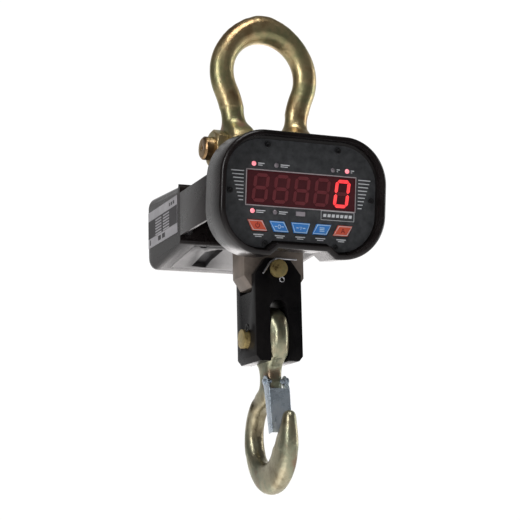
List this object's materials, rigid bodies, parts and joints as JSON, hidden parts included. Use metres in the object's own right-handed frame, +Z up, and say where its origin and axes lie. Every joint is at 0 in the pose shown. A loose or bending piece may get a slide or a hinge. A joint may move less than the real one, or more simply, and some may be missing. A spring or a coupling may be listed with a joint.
{
  "type": "crane scale",
  "caption": "Hanging crane scale: bow shackle on top, display head and rear battery box on a load cell, swivelling clevis block and a hook with a sprung safety latch.",
  "frame": {"origin": "seat inside the crown of the shackle bow, where the crane's hook or ring bears", "axes": "+Z up along the load line, display faces -Y, +X to the right of a person reading the display"},
  "size_m": [0.176, 0.2535, 0.4905],
  "materials": {
    "zinc_yellow": "satin",
    "zinc_khaki": "satin",
    "zinc_blue": "satin",
    "black_housing": "satin",
    "black_steel": "satin",
    "cell_steel": "satin",
    "aluminium": "satin",
    "black_rubber": "matte",
    "panel_film": "satin",
    "window_red": "gloss",
    "digit_plastic": "gloss",
    "lamp_red": "gloss",
    "sensor_grey": "gloss",
    "board_green": "matte",
    "key_red": "satin",
    "key_blue": "satin",
    "screw_steel": "satin",
    "screw_black": "satin",
    "battery_plastic": "matte",
    "black_plastic": "matte",
    "label_silver": "satin",
    "black_wire": "satin"
  },
  "bodies": {
    "shackle": {"shackle_bow": "zinc_yellow", "shackle_bolt": "zinc_yellow", "shackle_nut": "zinc_yellow"},
    "scale_head": {"load_cell": "cell_steel", "cell_covers": "aluminium", "cell_bracket": "aluminium", "cell_spacer": "aluminium", "bracket_screws": "screw_steel", "head_shell": "black_housing", "panel_gasket": "black_rubber", "display_panel": "panel_film", "led_window": "window_red", "digit_modules": "digit_plastic", "indicator_lamps": "lamp_red", "sensor_window": "sensor_grey", "display_board": "board_green", "panel_screws": "screw_black", "bridge_cover": "black_housing", "rear_box": "black_housing", "box_front_plate": "black_housing", "plate_screws": "screw_steel", "main_board": "board_green", "battery_pack": "battery_plastic", "door_hinge_pin": "screw_steel", "rating_label": "label_silver"},
    "key_power": {"key_power": "key_red"},
    "key_zero": {"key_zero": "key_blue"},
    "key_tare": {"key_tare": "key_blue"},
    "key_hold": {"key_hold": "key_blue"},
    "key_total": {"key_total": "key_red"},
    "battery_door": {"battery_door": "black_plastic"},
    "clevis": {"clevis_block": "black_steel", "upper_pin": "zinc_yellow", "upper_cotter": "screw_steel", "lower_pin": "zinc_yellow", "lower_cotter": "black_wire"},
    "hook": {"hook": "zinc_khaki", "latch_pin": "zinc_blue", "latch_spring": "screw_steel"},
    "latch": {"latch": "zinc_blue"}
  },
  "joints": [
    {"name": "head_swing", "type": "hinge", "parent": "shackle", "child": "scale_head", "pos_m": [0, 0, -0.1185], "axis": [1, 0, 0], "range_deg": [-60, 60]},
    {"name": "key_power_press", "type": "slide", "parent": "scale_head", "child": "key_power", "axis": [0, 0.9903, 0.1392], "range_m": [0, 0.0005], "stiffness_N_per_m": 600},
    {"name": "key_zero_press", "type": "slide", "parent": "scale_head", "child": "key_zero", "axis": [0, 0.9903, 0.1392], "range_m": [0, 0.0005], "stiffness_N_per_m": 600},
    {"name": "key_tare_press", "type": "slide", "parent": "scale_head", "child": "key_tare", "axis": [0, 0.9903, 0.1392], "range_m": [0, 0.0005], "stiffness_N_per_m": 600},
    {"name": "key_hold_press", "type": "slide", "parent": "scale_head", "child": "key_hold", "axis": [0, 0.9903, 0.1392], "range_m": [0, 0.0005], "stiffness_N_per_m": 600},
    {"name": "key_total_press", "type": "slide", "parent": "scale_head", "child": "key_total", "axis": [0, 0.9903, 0.1392], "range_m": [0, 0.0005], "stiffness_N_per_m": 600},
    {"name": "battery_door_hinge", "type": "hinge", "parent": "scale_head", "child": "battery_door", "pos_m": [0, 0.04881, -0.20838], "axis": [-1, 0, 0], "range_deg": [0, 80]},
    {"name": "clevis_swivel", "type": "hinge", "parent": "scale_head", "child": "clevis", "pos_m": [0, 0, -0.244], "axis": [0, 1, 0], "range_deg": [-8, 8]},
    {"name": "hook_swing", "type": "hinge", "parent": "clevis", "child": "hook", "pos_m": [0, 0, -0.3125], "axis": [1, 0, 0], "range_deg": [-70, 70]},
    {"name": "latch_swing", "type": "hinge", "parent": "hook", "child": "latch", "pos_m": [0, -0.0106, -0.3555], "axis": [1, 0, 0], "range_deg": [0, 36], "stiffness_Nm_per_rad": 0.05, "springref_deg": -34.38}
  ]
}
